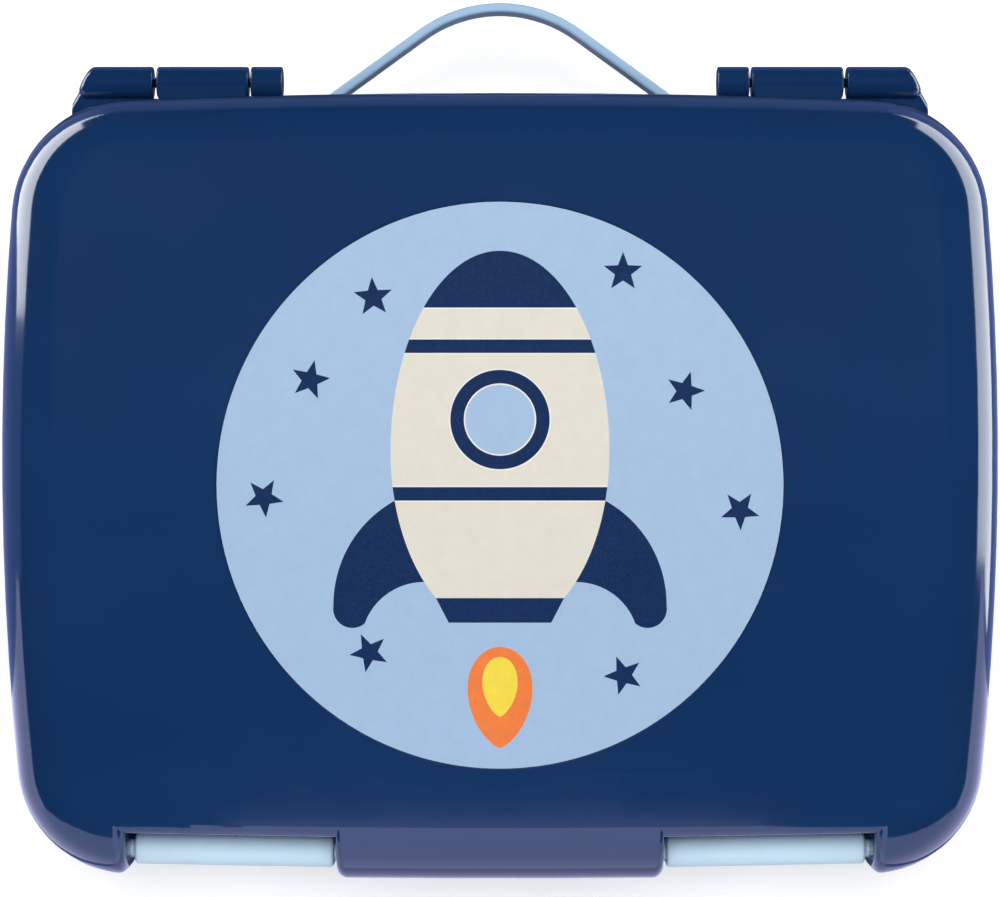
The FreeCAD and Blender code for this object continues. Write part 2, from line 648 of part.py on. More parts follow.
def strap_path(body):
    """The strap's middle line from barrel to barrel: heel arcs, straight flanks and a round crown."""
    crown_r, heel_r = value_of("crown_radius"), value_of("heel_radius")
    end_x, base_y = value_of("strap_end"), value_of("pivot_y")
    crown_centre = Vector(0, value_of("crown_y") - crown_r, 0)
    heel_centre = Vector(value_of("heel_x"), base_y + heel_r, 0)
    apart = heel_centre - crown_centre
    slope = math.atan2(apart.x, apart.y) - math.acos((crown_r + heel_r) / apart.Length)
    normal = Vector(math.sin(slope), math.cos(slope), 0)
    flank_top = crown_centre + normal * crown_r
    flank_foot = heel_centre - normal * heel_r

    def flip(point):
        return Vector(-point.x, point.y, 0)

    def arc(centre, radius, first, last):
        circle = Part.Circle(centre, Vector(0, 0, 1), radius)
        sketch.addGeometry(Part.ArcOfCircle(circle, first, last))

    def line(start, end):
        sketch.addGeometry(Part.LineSegment(start, end))

    quarter = math.pi / 2
    sketch = new_sketch(body, "strap_path", "XY_Plane", "0")
    line(Vector(-end_x, base_y, 0), Vector(-heel_centre.x, base_y, 0))
    arc(flip(heel_centre), heel_r, -quarter, -quarter + slope)
    line(flip(flank_foot), flip(flank_top))
    arc(crown_centre, crown_r, quarter - slope, quarter + slope)
    line(flank_top, flank_foot)
    arc(heel_centre, heel_r, -quarter - slope, -quarter)
    line(Vector(heel_centre.x, base_y, 0), Vector(end_x, base_y, 0))
    joints = ((0, 2, 1, 1), (1, 2, 2, 1), (2, 2, 3, 2), (3, 1, 4, 1), (4, 2, 5, 1), (5, 2, 6, 1))
    for joint in joints:
        sketch.addConstraint(Sketcher.Constraint("Tangent", *joint))
    for end in (0, 6):
        sketch.addConstraint(Sketcher.Constraint("Horizontal", end))
    sketch.addConstraint(Sketcher.Constraint("PointOnObject", 3, 3, -2))
    sketch.addConstraint(Sketcher.Constraint("Symmetric", 0, 1, 6, 2, -2))
    sketch.addConstraint(Sketcher.Constraint("Equal", 1, 5))
    hold(sketch, "DistanceX", 1, 3, -1, 1, size="heel_x", name="left_heel")
    hold(sketch, "DistanceX", -1, 1, 5, 3, size="heel_x", name="right_heel")
    hold(sketch, "Radius", 3, size="crown_radius", name="crown")
    hold(sketch, "DistanceY", -1, 1, 3, 3, size="crown_y - crown_radius", name="crown_height")
    hold(sketch, "Radius", 5, size="heel_radius", name="heel")
    hold(sketch, "DistanceX", -1, 1, 6, 2, size="strap_end", name="end_across")
    hold(sketch, "DistanceY", -1, 1, 6, 2, size="pivot_y", name="end_up")
    return sketch


def strap_section(body):
    """The strap's cross-section at its left end: a rectangle with rounded corners."""
    section = new_sketch(body, "strap_section", "YZ_Plane", "0 - strap_end")
    half_t, half_d = value_of("strap_thick / 2"), value_of("strap_depth / 2")
    y, z, r = value_of("pivot_y"), value_of("pivot_z"), value_of("strap_round")
    quarter = math.pi / 2
    corners = [(1, 1), (-1, 1), (-1, -1), (1, -1)]
    for index, (a, b) in enumerate(corners):
        centre = Vector(y + a * (half_t - r), z + b * (half_d - r), 0)
        round_corner = Part.Circle(centre, Vector(0, 0, 1), r)
        section.addGeometry(Part.ArcOfCircle(round_corner, index * quarter, (index + 1) * quarter))
        turn, ahead = corners[index], corners[(index + 1) % 4]
        flat = index % 2 == 0
        start = centre + (Vector(0, turn[1] * r, 0) if flat else Vector(turn[0] * r, 0, 0))
        across = (ahead[0] - turn[0]) * (half_t - r)
        rise = (ahead[1] - turn[1]) * (half_d - r)
        section.addGeometry(Part.LineSegment(start, start + Vector(across, rise, 0)))
    for index in range(8):
        section.addConstraint(Sketcher.Constraint("Tangent", index, 2, (index + 1) % 8, 1))
    for line, way in ((1, "Horizontal"), (3, "Vertical"), (5, "Horizontal"), (7, "Vertical")):
        section.addConstraint(Sketcher.Constraint(way, line))
    for arc in (2, 4, 6):
        section.addConstraint(Sketcher.Constraint("Equal", 0, arc))
    hold(section, "Radius", 0, size="strap_round", name="edge_round")
    hold(section, "DistanceX", -1, 1, 3, 1, size="pivot_y - strap_thick / 2", name="inner_face")
    hold(section, "DistanceX", -1, 1, 7, 1, size="pivot_y + strap_thick / 2", name="outer_face")
    hold(section, "DistanceY", -1, 1, 5, 1, size="pivot_z - strap_depth / 2", name="lower_edge")
    hold(section, "DistanceY", -1, 1, 1, 1, size="pivot_z + strap_depth / 2", name="upper_edge")
    return section


def make_handle():
    body = new_body("handle_strap")
    pipe = body.newObject("PartDesign::AdditivePipe", "Strap")
    pipe.Profile = strap_section(body)
    pipe.Spine = strap_path(body)
    doc.recompute()
    for name, side in SIDES.items():
        start = "strap_end - barrel_length" if side > 0 else "0 - strap_end"
        barrel = circle_sketch(body, f"strap_barrel_{name}", "YZ_Plane", start,
                               "pivot_y", "pivot_z", "strap_barrel")
        pad(body, barrel, "barrel_length", name=f"Barrel_{name}")
    bores = [rod(f"strap_bore_{name}", side, "strap_end - barrel_length - running", "strap_end + 1",
                 "pivot_y", "pivot_z", "handle_pin + running") for name, side in SIDES.items()]
    strap = cut("handle_strap_bored", body, bores)
    body.Label = "strap_blank"
    strap.Label = "handle_strap"
    return strap


def make_anchor(name, side):
    """A cheek that stands on the recess's wall and holds one handle pin."""
    inner = "strap_end + anchor_gap"
    outer = "strap_end + anchor_gap + anchor_thick"
    start = inner if side > 0 else f"0 - ({outer})"
    foot = rectangle("pocket_y", "pivot_y", "pivot_z - anchor_nose", "pivot_z + anchor_nose")
    body = prism(f"anchor_blank_{name}", "YZ_Plane", foot, start, "anchor_thick")
    nose = circle_sketch(body, f"anchor_nose_{name}", "YZ_Plane", start, "pivot_y", "pivot_z", "anchor_nose")
    pad(body, nose, "anchor_thick", name="Nose")
    bore = rod(f"anchor_bore_{name}", side, "strap_end", "strap_end + 10", "pivot_y", "pivot_z", "handle_pin")
    anchor = cut(f"handle_anchor_{name}", body, [bore])
    anchor.Label = f"handle_anchor_{name}"
    return anchor


def make_handle_pin(name, side):
    return rod(f"handle_pin_{name}", side, "strap_end - barrel_length",
               "strap_end + anchor_gap + anchor_thick", "pivot_y", "pivot_z", "handle_pin")


# ---------------------------------------------------------------- inside

def compartment(label, x0, x1, y0, y1):
    """The room of one compartment, rounded at its corners and at its floor."""
    body = prism(label, "XY_Plane", rectangle(x0, x1, y0, y1), "wall + tray_floor", "tray_top")
    round_edges(body, "room_corner", upright_edge, name="Corners")
    round_edges(body, "room_round", level_edge("wall + tray_floor"), name="Floor")
    return body


def make_tray():
    block = new_body("tray_block")
    body_outline = outline_sketch(block, "tray_outline", "wall", "room_half + tray_side",
                                  "room_front + tray_wall", "room_rear + tray_wall",
                                  "room_corner", "room_corner")
    pad(block, body_outline, "tray_top - wall")
    round_edges(block, "tray_roll", level_edge("wall"))
    flange = new_body("tray_flange")
    flange_outline = outline_sketch(flange, "flange_outline", "tray_top - flange_thick", "flange_half",
                                    "flange_front", "flange_rear", "inner_corner", "inner_corner")
    pad(flange, flange_outline, "flange_thick")

    behind = "room_split + rib / 2"
    ahead = "room_split - rib / 2"
    beside_well = "well_radius + rib"
    rooms = [
        compartment("room_large", "0 - room_half", "front_split - rib / 2", "0 - room_front", ahead),
        compartment("room_front", "front_split + rib / 2", "room_half", "0 - room_front", ahead),
        compartment("room_rear_left", "0 - room_half", f"0 - ({beside_well})", behind, "room_rear"),
        compartment("room_rear_right", beside_well, "room_half", behind, "room_rear"),
    ]
    well = new_body("dip_well")
    pad(well, circle_sketch(well, "dip_well_section", "XY_Plane", "wall + tray_floor",
                            "0", "well_y", "well_radius"), "tray_top")
    round_edges(well, "room_round", level_edge("wall + tray_floor"))
    tray = cut("compartment_tray", fuse("tray_solid", [block, flange]), rooms + [well, well_surround()])
    tray.Label = "compartment_tray"
    return tray


def well_surround():
    """The hollow under the tray between the round well and the straight walls beside it."""
    cell = prism("well_cell", "XY_Plane",
                 rectangle("0 - well_cell", "well_cell", "room_split + rib / 2", "room_rear - tray_roll"),
                 "wall - 1", "tray_top - tray_floor - wall + 1")
    core = new_body("well_core")
    pad(core, circle_sketch(core, "well_core_section", "XY_Plane", "0", "0", "well_y",
                            "well_radius + tray_floor"), "tray_top")
    return cut("well_hollow", cell, [core])


def ring(label, level, thickness, half, front, rear, corner, width):
    """A closed band that follows the box's outline."""
    body = new_body(label)
    pad(body, outline_sketch(body, label + "_outer", level, half, front, rear, corner, corner), thickness)
    inner = [f"({edge}) - ({width})" for edge in (half, front, rear, corner, corner)]
    pocket(body, outline_sketch(body, label + "_inner", level, *inner), thickness)
    return body


def make_liner():
    panel = new_body("liner_panel")
    pad(panel, outline_sketch(panel, "liner_outline", "liner_bottom", "liner_half", "liner_front",
                              "liner_rear", "inner_corner", "inner_corner"), "liner_thick")
    level = "liner_bottom + liner_thick"
    rib = ring("liner_rib", level, f"lid_top - wall - ({level})", "liner_half - liner_rib_in",
               "liner_front - liner_rib_in", "liner_rear - liner_rib_in", "liner_rib_corner", "liner_thick")
    liner = fuse("lid_liner", [panel, rib])
    liner.Label = "lid_liner"
    return liner


def make_seals():
    thickness = "liner_bottom - seal_bottom"
    rim = ring("lid_seal", "seal_bottom", thickness, "seal_half", "seal_front", "seal_rear",
               "inner_corner", "seal_wide")
    well = new_body("dip_seal")
    pad(well, circle_sketch(well, "dip_seal_outer", "XY_Plane", "seal_bottom", "0", "well_y",
                            "well_seal_in + well_seal_wide"), thickness)
    pocket(well, circle_sketch(well, "dip_seal_inner", "XY_Plane", "seal_bottom", "0", "well_y",
                               "well_seal_in"), thickness)
    return [rim, well]


# ---------------------------------------------------------------- build, test and write

pieces = [make_base(), make_tray(), make_lid(), make_print(), make_liner()] + make_seals()
pieces.append(make_handle())
for name, side in SIDES.items():
    pieces.append(make_hinge_pin(name, side))
    pieces.append(make_latch(name, side))
    pieces.append(make_anchor(name, side))
    pieces.append(make_handle_pin(name, side))
doc.recompute()

failed = [item for item in doc.Objects if {"Invalid", "Error"} & set(item.State)]
if failed:
    owners = {item.Name: [user.Label for user in item.InList] for item in failed}
    raise RuntimeError(f"these objects did not recompute: {owners}")
os.makedirs("parts", exist_ok=True)
for piece in pieces:
    if piece.Shape.isNull() or not piece.Shape.isValid() or piece.Shape.Volume <= 0:
        raise RuntimeError(f"{piece.Label} has no valid shape")
    piece.Shape.exportStep(f"parts/{piece.Label}.step")
    box = piece.Shape.BoundBox
    print(f"{piece.Label:22s} solids {len(piece.Shape.Solids)} volume {piece.Shape.Volume:9.1f} "
          f"x {box.XMin:7.2f} {box.XMax:7.2f} y {box.YMin:7.2f} {box.YMax:7.2f} "
          f"z {box.ZMin:6.2f} {box.ZMax:6.2f}")
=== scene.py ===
import math

import bmesh
import bpy
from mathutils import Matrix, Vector
from mathutils.geometry import delaunay_2d_cdt


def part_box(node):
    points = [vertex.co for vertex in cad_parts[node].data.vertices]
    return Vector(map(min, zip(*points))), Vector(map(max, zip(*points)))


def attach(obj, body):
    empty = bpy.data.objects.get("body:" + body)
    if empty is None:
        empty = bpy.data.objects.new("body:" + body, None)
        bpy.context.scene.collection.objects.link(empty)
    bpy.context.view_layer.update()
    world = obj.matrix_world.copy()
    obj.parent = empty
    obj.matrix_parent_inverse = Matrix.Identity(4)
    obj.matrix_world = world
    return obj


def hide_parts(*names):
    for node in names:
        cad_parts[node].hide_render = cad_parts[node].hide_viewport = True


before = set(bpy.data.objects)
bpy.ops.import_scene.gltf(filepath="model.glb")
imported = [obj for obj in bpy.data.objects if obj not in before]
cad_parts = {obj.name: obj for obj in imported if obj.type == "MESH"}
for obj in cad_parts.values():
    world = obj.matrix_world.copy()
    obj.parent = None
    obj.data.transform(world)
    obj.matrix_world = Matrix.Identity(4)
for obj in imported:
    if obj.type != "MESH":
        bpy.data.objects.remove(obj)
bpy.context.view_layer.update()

MM = 0.001
SCENE = bpy.context.scene

# Camera: it looks straight down on the lid from this height above the floor.
CAMERA_HEIGHT = 0.700
CAMERA_FOCAL = 110.8
CAMERA_PLACE = (0.0, 0.0076)

# Colours as they look in daylight, 0 to 255, except where a comment says that light or shade is painted in.
NAVY = (21, 53, 98)
NAVY_DEEP = (18, 49, 93)
# Painted light: the latches' blue is set brighter than the plastic, to make up for the shade the lid's bay
# throws on them.
SKY_WITH_PAINTED_LIGHT = (212, 240, 255)
SKY_HANDLE = (170, 203, 234)
TRAY_BLUE = (166, 200, 232)
LINER_WHITE = (240, 243, 246)
SILICONE = (222, 232, 240)
STEEL = (190, 192, 196)
INK_NAVY = (20, 47, 92)
INK_SKY = (166, 194, 225)
# Painted shadow: a thin dark navy ring round the film's edge, where the film meets the lid.
RIM_PAINTED_SHADOW = (11, 32, 70)
INK_CREAM = (228, 223, 211)
INK_WHITE = (238, 238, 234)
INK_ORANGE = (248, 132, 66)
INK_YELLOW = (255, 226, 78)

# Light of the room, as linear colours.
HORIZON_GLOW = (0.20, 0.26, 0.62, 1)
UNDER_GLOW = (0.06, 0.06, 0.12, 1)
ROOM_DARK = (0.006, 0.006, 0.008, 1)


def linear(colour):
    """A 0-255 screen colour as the linear RGBA that shaders take."""
    shares = [part / 255 for part in colour]
    return [s / 12.92 if s <= 0.04045 else ((s + 0.055) / 1.055) ** 2.4 for s in shares] + [1.0]


# ---------------------------------------------------------------- materials

class Nodes:
    """A short way to write a node tree."""

    def __init__(self, name):
        self.material = bpy.data.materials.new(name)
        self.material.use_nodes = True
        self.tree = self.material.node_tree
        self.tree.nodes.clear()
        self.output = self.tree.nodes.new("ShaderNodeOutputMaterial")
        self.shader = self.add("ShaderNodeBsdfPrincipled")
        self.link(self.shader.outputs["BSDF"], self.output.inputs["Surface"])
        self.place = self.add("ShaderNodeTexCoord").outputs["Object"]

    def add(self, kind, inputs=None, **settings):
        node = self.tree.nodes.new(kind)
        for key, value in settings.items():
            setattr(node, key, value)
        for key, value in (inputs or {}).items():
            if isinstance(value, bpy.types.NodeSocket):
                self.link(value, node.inputs[key])
            else:
                node.inputs[key].default_value = value
        return node

    def link(self, start, end):
        self.tree.links.new(start, end)

    def stretched(self, scale):
        """Object coordinates, scaled differently along each axis."""
        return self.add("ShaderNodeMapping", {"Vector": self.place, "Scale": scale}).outputs["Vector"]

    def noise(self, scale, detail=3.0, rough=0.5, vector=None):
        given = {"Vector": vector or self.place, "Scale": scale, "Detail": detail, "Roughness": rough}
        return self.add("ShaderNodeTexNoise", given).outputs["Fac"]

    def ranged(self, value, low, high, start=0.3, end=0.7):
        """The value moved from the range start..end to low..high."""
        given = {"Value": value, "From Min": start, "From Max": end, "To Min": low, "To Max": high}
        return self.add("ShaderNodeMapRange", given).outputs["Result"]

    def mixed(self, share, one, other, blend="MIX"):
        node = self.add("ShaderNodeMix", data_type="RGBA", blend_type=blend)
        for socket, value in zip((node.inputs[0], node.inputs[6], node.inputs[7]), (share, one, other)):
            if isinstance(value, bpy.types.NodeSocket):
                self.link(value, socket)
            else:
                socket.default_value = value
        return node.outputs[2]

    def math(self, operation, one, other):
        node = self.add("ShaderNodeMath", operation=operation)
        for socket, value in zip(node.inputs, (one, other)):
            if isinstance(value, bpy.types.NodeSocket):
                self.link(value, socket)
            else:
                socket.default_value = value
        return node.outputs[0]

    def bump(self, height, depth, after=None):
        """A bump of `depth` metres, on top of an earlier one."""
        given = {"Height": height, "Strength": 1.0, "Distance": depth}
        if after is not None:
            given["Normal"] = after
        return self.add("ShaderNodeBump", given).outputs["Normal"]

    def finish(self, colour, roughness, normal, **constants):
        self.link(colour, self.shader.inputs["Base Color"])
        self.link(roughness, self.shader.inputs["Roughness"])
        self.link(normal, self.shader.inputs["Normal"])
        for key, value in constants.items():
            self.shader.inputs[key.replace("_", " ")].default_value = value
        return self.material


def scratches(nodes, across, along):
    """Fine hairlines: 1 on a scratch, 0 beside it."""
    first = nodes.noise(1.0, 2.0, 0.4, nodes.stretched((across, along, across)))
    second = nodes.noise(1.0, 2.0, 0.4, nodes.stretched((along, across, along)))
    strongest = nodes.math("MAXIMUM", first, second)
    return nodes.ranged(strongest, 0.0, 1.0, 0.70, 0.76)


def gloss_plastic(name, light, deep, rough=(0.07, 0.12), peel=0.000004, **constants):
    """Polished moulded plastic: faint flow marks in the colour, orange peel and a few hairlines."""
    nodes = Nodes(name)
    flow = nodes.ranged(nodes.noise(14.0, 4.0, 0.55, nodes.stretched((1.0, 2.2, 1.0))), 0.0, 1.0)
    colour = nodes.mixed(flow, linear(light), linear(deep))
    handling = nodes.noise(55.0, 5.0, 0.6)
    hairlines = scratches(nodes, 900.0, 12.0)
    roughness = nodes.math("ADD", nodes.ranged(handling, *rough), nodes.math("MULTIPLY", hairlines, 0.06))
    wavy = nodes.bump(nodes.noise(240.0, 2.0, 0.4), peel)
    normal = nodes.bump(nodes.noise(2600.0, 2.0, 0.5), peel * 0.12, wavy)
    return nodes.finish(colour, roughness, normal, IOR=1.5, **constants)


def satin_plastic(name, light, deep, rough=(0.34, 0.46), grain=0.000012, **constants):
    """Satin moulded plastic: a fine spark-eroded texture, faint flow marks, rubbed spots."""
    nodes = Nodes(name)
    flow = nodes.ranged(nodes.noise(22.0, 4.0, 0.6, nodes.stretched((1.0, 1.6, 1.0))), 0.0, 1.0)
    colour = nodes.mixed(flow, linear(light), linear(deep))
    specks = nodes.ranged(nodes.noise(4200.0, 1.0, 0.5), 0.0, 0.10, 0.62, 0.75)
    colour = nodes.mixed(specks, colour, linear(deep))
    roughness = nodes.ranged(nodes.noise(70.0, 5.0, 0.65), *rough)
    eroded = nodes.bump(nodes.noise(3400.0, 3.0, 0.6), grain)
    normal = nodes.bump(nodes.noise(420.0, 2.0, 0.5), grain * 0.9, eroded)
    return nodes.finish(colour, roughness, normal, IOR=1.47, **constants)


def silicone(name):
    """Matt translucent silicone with a bloom of dust."""
    nodes = Nodes(name)
    bloom = nodes.ranged(nodes.noise(90.0, 5.0, 0.65), 0.0, 1.0)
    colour = nodes.mixed(bloom, linear(SILICONE), linear((206, 220, 232)))
    dust = nodes.ranged(nodes.noise(1500.0, 2.0, 0.5), 0.0, 0.35, 0.66, 0.74)
    colour = nodes.mixed(dust, colour, linear(LINER_WHITE))
    roughness = nodes.ranged(nodes.noise(260.0, 4.0, 0.6), 0.42, 0.62)
    normal = nodes.bump(nodes.noise(1900.0, 3.0, 0.6), 0.00001)
    return nodes.finish(colour, roughness, normal, IOR=1.41, Subsurface_Weight=0.35,
                        Subsurface_Scale=0.002)


def drawn_steel(name):
    """Steel wire: draw lines along its length, slightly darker in the grooves."""
    nodes = Nodes(name)
    lines = nodes.noise(1.0, 4.0, 0.6, nodes.stretched((60.0, 5200.0, 5200.0)))
    colour = nodes.mixed(nodes.ranged(lines, 0.0, 1.0), linear(STEEL), linear((150, 152, 158)))
    roughness = nodes.ranged(lines, 0.18, 0.36)
    normal = nodes.bump(lines, 0.000005)
    return nodes.finish(colour, roughness, normal, Metallic=1.0, Anisotropic=0.5)


def ink(name, light, deep, pale=0.22):
    """Screen-printed ink under a clear gloss: mottled colour, pinholes and a slightly wavy surface."""
    nodes = Nodes(name)
    mottle = nodes.ranged(nodes.noise(260.0, 6.0, 0.7), 0.0, 1.0)
    colour = nodes.mixed(mottle, linear(light), linear(deep))
    pinholes = nodes.ranged(nodes.noise(5200.0, 1.0, 0.5), 0.0, pale, 0.66, 0.72)
    colour = nodes.mixed(pinholes, colour, linear(INK_WHITE))
    roughness = nodes.ranged(nodes.noise(130.0, 5.0, 0.6), 0.16, 0.26)
    wavy = nodes.bump(nodes.noise(300.0, 2.0, 0.4), 0.000003)
    normal = nodes.bump(nodes.noise(4200.0, 2.0, 0.6), 0.000002, wavy)
    return nodes.finish(colour, roughness, normal, IOR=1.48)


def darker(colour, share=0.94):
    """A colour with every part scaled down."""
    return tuple(part * share for part in colour)


def dress(material, *names):
    """Give CAD nodes their material."""
    for name in names:
        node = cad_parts[name]
        node.data.materials.clear()
        node.data.materials.append(material)


NAVY_PLASTIC = gloss_plastic("navy_gloss", NAVY, NAVY_DEEP)
# The latch colour carries painted light: it is brighter than the real blue.
SKY_PLASTIC = satin_plastic("sky_satin", SKY_WITH_PAINTED_LIGHT, darker(SKY_WITH_PAINTED_LIGHT, 0.97),
                            Subsurface_Weight=0.08, Subsurface_Scale=0.001)
STRAP_PLASTIC = satin_plastic("sky_strap", SKY_HANDLE, darker(SKY_HANDLE, 0.97))
dress(NAVY_PLASTIC, "lid_shell", "base_shell")
dress(SKY_PLASTIC, "latch_left", "latch_right")
dress(STRAP_PLASTIC, "handle_strap")
dress(satin_plastic("tray_satin", TRAY_BLUE, darker(TRAY_BLUE), rough=(0.38, 0.55)), "compartment_tray")
dress(gloss_plastic("liner_white", LINER_WHITE, darker(LINER_WHITE, 0.985), rough=(0.24, 0.34)), "lid_liner")
dress(silicone("silicone"), "lid_seal", "dip_seal")
dress(satin_plastic("anchor_navy", NAVY, NAVY_DEEP), "handle_anchor_left", "handle_anchor_right")
dress(drawn_steel("pin_steel"), "hinge_pin_left", "hinge_pin_right", "handle_pin_left", "handle_pin_right")


# ---------------------------------------------------------------- the print: a generic rocket
# Millimetres from the middle of the film.  Each shape is a closed outline.

FILM_RADIUS = (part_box("lid_print")[1].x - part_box("lid_print")[0].x) / 2 / MM
FILM_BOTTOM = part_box("lid_print")[0].z
FILM_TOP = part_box("lid_print")[1].z

HULL_WIDEST, HULL_Y = 22.7, 7.0
NOSE_Y, HULL_TAIL = 48.6, 37.5
CAP_Y = 36.8
NOZZLE_TOP, NOZZLE_BOTTOM = -23.4, -28.5
PORTHOLE = (0.0, 13.6)
PORTHOLE_RING, PORTHOLE_GLASS = 10.3, 7.2
BANDS = ((27.4, 30.2), (-3.2, -0.4))
HAIRLINE = 0.3
# RIM_WIDTH is the width of the painted shadow ring round the film's edge.
RIM_WIDTH = 0.25
RIM_STEPS = 180
EDGE_BEVEL, EDGE_DROP = 0.08, 0.05
STAR_SIZE = 4.2
# angle clockwise from straight up, distance from the middle
STARS = ((30, 51), (63, 43), (96, 50), (147, 47), (-34, 47), (-61, 45), (-93, 49), (-142, 44))


def ellipse_arc(centre, across, up, first, last, steps):
    """Points on an ellipse between two angles in degrees, counter-clockwise if last is larger."""
    points = []
    for step in range(steps + 1):
        angle = math.radians(first + (last - first) * step / steps)
        points.append((centre[0] + across * math.cos(angle), centre[1] + up * math.sin(angle)))
    return points


def circle(centre, radius, steps=96):
    return ellipse_arc(centre, radius, radius, 0, 360, steps)[:-1]


def hull_half(y):
    """Half width of the hull at one height: two half ellipses that meet at its widest line."""
    reach = NOSE_Y - HULL_Y if y > HULL_Y else HULL_TAIL
    return HULL_WIDEST * math.sqrt(max(0.0, 1 - ((y - HULL_Y) / reach) ** 2))


def hull_slice(low, high, steps):
    """The part of the hull between two heights."""
    right = []
    for step in range(steps + 1):
        share = 0.5 - 0.5 * math.cos(math.pi * step / steps)
        y = low + (high - low) * share
        right.append((hull_half(y), y))
    left = [(-x, y) for x, y in reversed(right) if x > 1e-6]
    return right + left


def bent(start, end, sag, steps=20):
    """Points from start to end on an arc that bulges `sag` to the right of the way."""
    gap = Vector(end) - Vector(start)
    side = Vector((gap.y, -gap.x)).normalized()
    half = gap.length / 2
    radius = (half * half + sag * sag) / (2 * abs(sag))
    middle = (Vector(start) + Vector(end)) / 2 - side * math.copysign(radius - abs(sag), sag)
    points = []
    spread = math.asin(half / radius)
    out = side * math.copysign(1, sag)
    along = gap.normalized()
    for step in range(steps + 1):
        angle = spread * (2 * step / steps - 1)
        spot = middle + (out * math.cos(angle) + along * math.sin(angle)) * radius
        points.append((spot.x, spot.y))
    return points


def fin(side):
    """A swept fin beside the hull: a full outer edge, a round tip and a hollow trailing edge."""
    tip = ellipse_arc((30.6, -25.6), 4.0, 4.0, 10, -130, 14)
    outer = bent((18.0, -1.5), tip[0], -4.6)
    inner = bent(tip[-1], (12.5, -20.5), 3.4)
    points = outer[:-1] + tip + inner[1:]
    return [(side * x, y) for x, y in points]


def flame(top, bottom, half):
    """A drop that hangs from a round head to a point."""
    points = []
    steps = 40
    for step in range(steps):
        turn = 2 * math.pi * step / steps
        share = (1 + math.cos(turn)) / 2
        width = half * math.sin(turn) * math.sin(turn / 2) ** 0.4 * 1.06
        points.append((width, bottom + (top - bottom) * (1 - share)))
    return points


def star(angle, distance, spin):
    """A five-pointed star."""
    turn = math.radians(angle)
    centre = (distance * math.sin(turn), distance * math.cos(turn))
    points = []
    for corner in range(10):
        reach = STAR_SIZE if corner % 2 == 0 else STAR_SIZE * 0.42
        way = math.radians(spin + 36 * corner)
        points.append((centre[0] + reach * math.sin(way), centre[1] + reach * math.cos(way)))
    return points


def band_slices():
    """The navy bands across the hull, each on a slightly wider white one."""
    for low, high in BANDS:
        yield hull_slice(low - HAIRLINE, high + HAIRLINE, 8), "print_white"
        yield hull_slice(low, high, 8), "print_navy"


def artwork():
    """The printed shapes with their inks, from the lowest layer to the top one."""
    layers = [(circle((0, 0), FILM_RADIUS - RIM_WIDTH, RIM_STEPS), "print_sky")]
    for side in (-1, 1):
        layers.append((fin(side), "print_navy"))
    layers.append((hull_slice(NOZZLE_TOP, NOSE_Y, 48), "print_cream"))
    layers.append((hull_slice(CAP_Y - HAIRLINE, NOSE_Y, 32), "print_white"))
    layers.append((hull_slice(CAP_Y, NOSE_Y, 32), "print_navy"))
    layers.extend(band_slices())
    layers.append((circle(PORTHOLE, PORTHOLE_RING + HAIRLINE), "print_white"))
    layers.append((circle(PORTHOLE, PORTHOLE_RING), "print_navy"))
    layers.append((circle(PORTHOLE, PORTHOLE_GLASS + HAIRLINE), "print_white"))
    layers.append((circle(PORTHOLE, PORTHOLE_GLASS), "print_sky"))
    top, bottom = hull_half(NOZZLE_TOP), hull_half(NOZZLE_TOP) * 0.8
    nozzle = [(-bottom, NOZZLE_BOTTOM), (bottom, NOZZLE_BOTTOM), (top, NOZZLE_TOP), (-top, NOZZLE_TOP)]
    layers.append((nozzle, "print_navy"))
    layers.append((flame(-33.5, -54.5, 7.2), "print_orange"))
    layers.append((flame(-35.6, -48.0, 3.9), "print_yellow"))
    for index, (angle, distance) in enumerate(STARS):
        layers.append((star(angle, distance, 17 * index), "print_navy"))
    return layers


def inside(point, outline):
    """Whether a point lies in a closed outline."""
    hit = False
    for (x0, y0), (x1, y1) in zip(outline, outline[1:] + outline[:1]):
        if (y0 > point[1]) != (y1 > point[1]):
            if point[0] < x0 + (x1 - x0) * (point[1] - y0) / (y1 - y0):
                hit = not hit
    return hit


